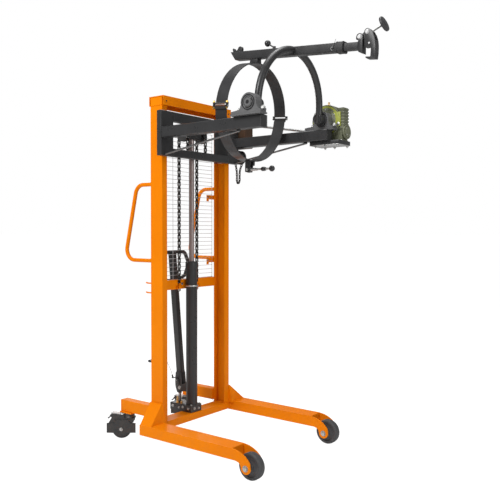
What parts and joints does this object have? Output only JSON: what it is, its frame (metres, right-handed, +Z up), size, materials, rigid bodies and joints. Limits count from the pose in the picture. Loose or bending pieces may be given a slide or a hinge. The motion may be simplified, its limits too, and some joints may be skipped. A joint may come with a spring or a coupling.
{
  "type": "drum lifter",
  "caption": "Manual drum stacker: straddle-leg mast, chain-lifted carriage and a tilting clamp of band, arch and hook that grips, lifts and tips a steel drum.",
  "frame": {"origin": "middle of the footprint of the bounding box, on the floor", "axes": "+X forward over the legs, +Y to the left (gearbox side), +Z up"},
  "size_m": [1.7662, 0.9514, 2.4774],
  "materials": {
    "brown_box_paint": "worn dark brown paint",
    "cast_grey_paint": "painted casting",
    "dark_grey_paint": "satin dark grey paint",
    "dark_rubber": "dark grey rubber",
    "grey_wire": "plated wire",
    "ground_steel": "ground and oiled",
    "oiled_chain": "oiled dark steel",
    "olive_gearbox_paint": "green-grey paint over a casting",
    "orange_paint": "gloss orange paint",
    "zinc_plate": "zinc plated"
  },
  "bodies": {
    "mast": {"base_beam": "orange_paint", "hydraulic_unit": "dark_grey_paint", "leg_left": "orange_paint", "leg_right": "orange_paint", "lift_chain_fixed_left": "oiled_chain", "lift_chain_fixed_right": "oiled_chain", "mesh_guard": "grey_wire", "mid_beam": "orange_paint", "outrigger_left": "orange_paint", "outrigger_right": "orange_paint", "pump_spring": "zinc_plate", "push_handle_left": "orange_paint", "push_handle_right": "orange_paint", "top_beam": "orange_paint", "upright_left": "orange_paint", "upright_right": "orange_paint"},
    "carriage": {"arm_left": "dark_grey_paint", "arm_right": "dark_grey_paint", "bearing_left": "cast_grey_paint", "bearing_right": "cast_grey_paint", "brace_left": "zinc_plate", "brace_right": "zinc_plate", "carriage_low_bar": "dark_grey_paint", "carriage_post_left": "dark_grey_paint", "carriage_post_right": "dark_grey_paint", "carriage_top_bar": "dark_grey_paint", "chain_box": "brown_box_paint", "gearbox": "olive_gearbox_paint", "hand_chain": "oiled_chain"},
    "caster_brake_left": {"caster_brake_left": "zinc_plate"},
    "caster_brake_right": {"caster_brake_right": "zinc_plate"},
    "caster_fork_left": {"caster_fork_left": "dark_grey_paint"},
    "caster_fork_right": {"caster_fork_right": "dark_grey_paint"},
    "caster_wheel_left": {"caster_wheel_left": "dark_rubber"},
    "caster_wheel_right": {"caster_wheel_right": "dark_rubber"},
    "chain_wheel": {"chain_wheel": "dark_grey_paint"},
    "chime_hook": {"chime_hook": "dark_grey_paint"},
    "clamp": {"clamp_yoke": "dark_grey_paint", "ring_upper": "dark_grey_paint"},
    "door_left": {"ring_door_left": "dark_grey_paint"},
    "door_right": {"ring_door_right": "dark_grey_paint"},
    "drive_shaft": {"drive_shaft": "zinc_plate"},
    "front_wheel_left": {"front_wheel_left": "dark_rubber"},
    "front_wheel_right": {"front_wheel_right": "dark_rubber"},
    "hook_screw": {"hook_screw": "dark_grey_paint"},
    "inner_tube": {"inner_tube": "dark_grey_paint"},
    "latch_lever": {"latch_lever": "dark_grey_paint"},
    "lift_ram": {"crosshead": "dark_grey_paint", "lift_chain_moving_left": "oiled_chain", "lift_chain_moving_right": "oiled_chain", "ram_rod": "ground_steel"},
    "lock_lever": {"tube_lock_lever": "dark_grey_paint"},
    "pulley_left": {"pulley_left": "zinc_plate"},
    "pulley_right": {"pulley_right": "zinc_plate"},
    "pump_plunger": {"pump_plunger": "ground_steel"},
    "roller_left_high": {"mast_roller_left_high": "zinc_plate"},
    "roller_left_low": {"mast_roller_left_low": "zinc_plate"},
    "roller_right_high": {"mast_roller_right_high": "zinc_plate"},
    "roller_right_low": {"mast_roller_right_low": "zinc_plate"},
    "tiller": {"tiller": "dark_grey_paint"}
  },
  "joints": [
    {"name": "lift_ram", "type": "slide", "parent": "mast", "child": "lift_ram", "axis": [0, 0, 1], "range_m": [-0.73, 0], "deforming": ["lift_chain_fixed_left", "lift_chain_fixed_right"]},
    {"name": "carriage_lift", "type": "slide", "parent": "lift_ram", "child": "carriage", "axis": [0, 0, 1], "range_m": [-0.73, 0], "deforming": ["lift_chain_moving_left", "lift_chain_moving_right"]},
    {"name": "pulley_turn_left", "type": "hinge", "parent": "lift_ram", "child": "pulley_left", "pos_m": [-0.50006, 0.07075, 1.961], "axis": [0, 1, 0], "range_deg": [-2, 1104]},
    {"name": "pulley_turn_right", "type": "hinge", "parent": "lift_ram", "child": "pulley_right", "pos_m": [-0.50006, -0.09925, 1.961], "axis": [0, 1, 0], "range_deg": [-2, 1104]},
    {"name": "roller_turn_left_low", "type": "hinge", "parent": "carriage", "child": "roller_left_low", "pos_m": [-0.50506, 0.28125, 1.845], "axis": [0, 1, 0], "range_deg": [-2, 2020]},
    {"name": "roller_turn_left_high", "type": "hinge", "parent": "carriage", "child": "roller_left_high", "pos_m": [-0.50506, 0.28125, 2.028], "axis": [0, 1, 0], "range_deg": [-2020, 2]},
    {"name": "roller_turn_right_low", "type": "hinge", "parent": "carriage", "child": "roller_right_low", "pos_m": [-0.50506, -0.30975, 1.845], "axis": [0, 1, 0], "range_deg": [-2, 2020]},
    {"name": "roller_turn_right_high", "type": "hinge", "parent": "carriage", "child": "roller_right_high", "pos_m": [-0.50506, -0.30975, 2.028], "axis": [0, 1, 0], "range_deg": [-2020, 2]},
    {"name": "clamp_tilt", "type": "hinge", "parent": "carriage", "child": "clamp", "pos_m": [0.26554, -0.01425, 2.0357], "axis": [0, 1, 0], "range_deg": [-95, 85]},
    {"name": "drive_shaft_turn", "type": "hinge", "parent": "carriage", "child": "drive_shaft", "pos_m": [-0.09406, 0.42575, 2.023], "axis": [0.9842, 0, -0.1773], "range_deg": [-3801, 3401]},
    {"name": "chain_wheel_turn", "type": "hinge", "parent": "carriage", "child": "chain_wheel", "pos_m": [-0.43906, 0.40575, 1.852], "axis": [0, 1, 0], "range_deg": [-3801, 3401]},
    {"name": "inner_tube_slide", "type": "slide", "parent": "clamp", "child": "inner_tube", "axis": [0.9962, 0, -0.0872], "range_m": [-0.08, 0.15]},
    {"name": "hook_swing", "type": "hinge", "parent": "inner_tube", "child": "chime_hook", "pos_m": [0.77287, -0.01425, 2.4074], "axis": [0, 1, 0], "range_deg": [-35, 0]},
    {"name": "hook_screw_turn", "type": "hinge", "parent": "chime_hook", "child": "hook_screw", "pos_m": [0.79192, -0.01425, 2.40724], "axis": [0.9278, 0, 0.3731], "continuous": true},
    {"name": "lock_lever_turn", "type": "hinge", "parent": "clamp", "child": "lock_lever", "pos_m": [0.1514, -0.01425, 2.4177], "axis": [0.0872, 0, 0.9962], "range_deg": [-60, 60]},
    {"name": "door_right_hinge", "type": "hinge", "parent": "clamp", "child": "door_right", "pos_m": [-0.0114, -0.31075, 2.05993], "axis": [0.9962, 0, -0.0872], "range_deg": [-15, 0]},
    {"name": "door_left_hinge", "type": "hinge", "parent": "clamp", "child": "door_left", "pos_m": [-0.0114, 0.28225, 2.05993], "axis": [0.9962, 0, -0.0872], "range_deg": [0, 15]},
    {"name": "latch_lever_turn", "type": "hinge", "parent": "door_right", "child": "latch_lever", "pos_m": [-0.02038, -0.03275, 1.7164], "axis": [0, 1, 0], "range_deg": [0, 75]},
    {"name": "tiller_swing", "type": "hinge", "parent": "mast", "child": "tiller", "pos_m": [-0.59106, -0.01425, 0.305], "axis": [0, 1, 0], "range_deg": [-55, 0], "stiffness_Nm_per_rad": 15, "springref_deg": 28.65},
    {"name": "plunger_slide", "type": "slide", "parent": "mast", "child": "pump_plunger", "axis": [0, 0, 1], "range_m": [-0.0275, 0.0005], "deforming": ["pump_spring"]},
    {"name": "front_wheel_turn_left", "type": "hinge", "parent": "mast", "child": "front_wheel_left", "pos_m": [0.29494, 0.38375, 0.075], "axis": [0, 1, 0], "continuous": true},
    {"name": "caster_swivel_left", "type": "hinge", "parent": "mast", "child": "caster_fork_left", "pos_m": [-0.78006, 0.28075, 0], "axis": [0, 0, 1], "continuous": true},
    {"name": "caster_wheel_turn_left", "type": "hinge", "parent": "caster_fork_left", "child": "caster_wheel_left", "pos_m": [-0.82131, 0.24909, 0.0625], "axis": [-0.6088, 0.7934, 0], "continuous": true},
    {"name": "caster_brake_press_left", "type": "hinge", "parent": "caster_fork_left", "child": "caster_brake_left", "pos_m": [-0.81338, 0.25518, 0.15], "axis": [-0.6088, 0.7934, 0], "range_deg": [-14, 0]},
    {"name": "front_wheel_turn_right", "type": "hinge", "parent": "mast", "child": "front_wheel_right", "pos_m": [0.29494, -0.41225, 0.075], "axis": [0, 1, 0], "continuous": true},
    {"name": "caster_swivel_right", "type": "hinge", "parent": "mast", "child": "caster_fork_right", "pos_m": [-0.78006, -0.30925, 0], "axis": [0, 0, 1], "continuous": true},
    {"name": "caster_wheel_turn_right", "type": "hinge", "parent": "caster_fork_right", "child": "caster_wheel_right", "pos_m": [-0.82131, -0.34091, 0.0625], "axis": [-0.6088, 0.7934, 0], "continuous": true},
    {"name": "caster_brake_press_right", "type": "hinge", "parent": "caster_fork_right", "child": "caster_brake_right", "pos_m": [-0.81338, -0.33482, 0.15], "axis": [-0.6088, 0.7934, 0], "range_deg": [-14, 0]}
  ],
  "couplings": [
    {"joint": "carriage_lift", "follows": "lift_ram", "ratio": 1},
    {"joint": "pulley_turn_left", "follows": "lift_ram", "rad_per_m": -26.316},
    {"joint": "pulley_turn_right", "follows": "lift_ram", "rad_per_m": -26.316},
    {"joint": "roller_turn_left_low", "follows": "lift_ram", "rad_per_m": -48.193},
    {"joint": "roller_turn_left_high", "follows": "lift_ram", "rad_per_m": 48.193},
    {"joint": "roller_turn_right_low", "follows": "lift_ram", "rad_per_m": -48.193},
    {"joint": "roller_turn_right_high", "follows": "lift_ram", "rad_per_m": 48.193},
    {"joint": "drive_shaft_turn", "follows": "clamp_tilt", "ratio": 40},
    {"joint": "chain_wheel_turn", "follows": "clamp_tilt", "ratio": 40},
    {"joint": "plunger_slide", "follows": "tiller_swing", "m_per_rad": 0.028}
  ]
}
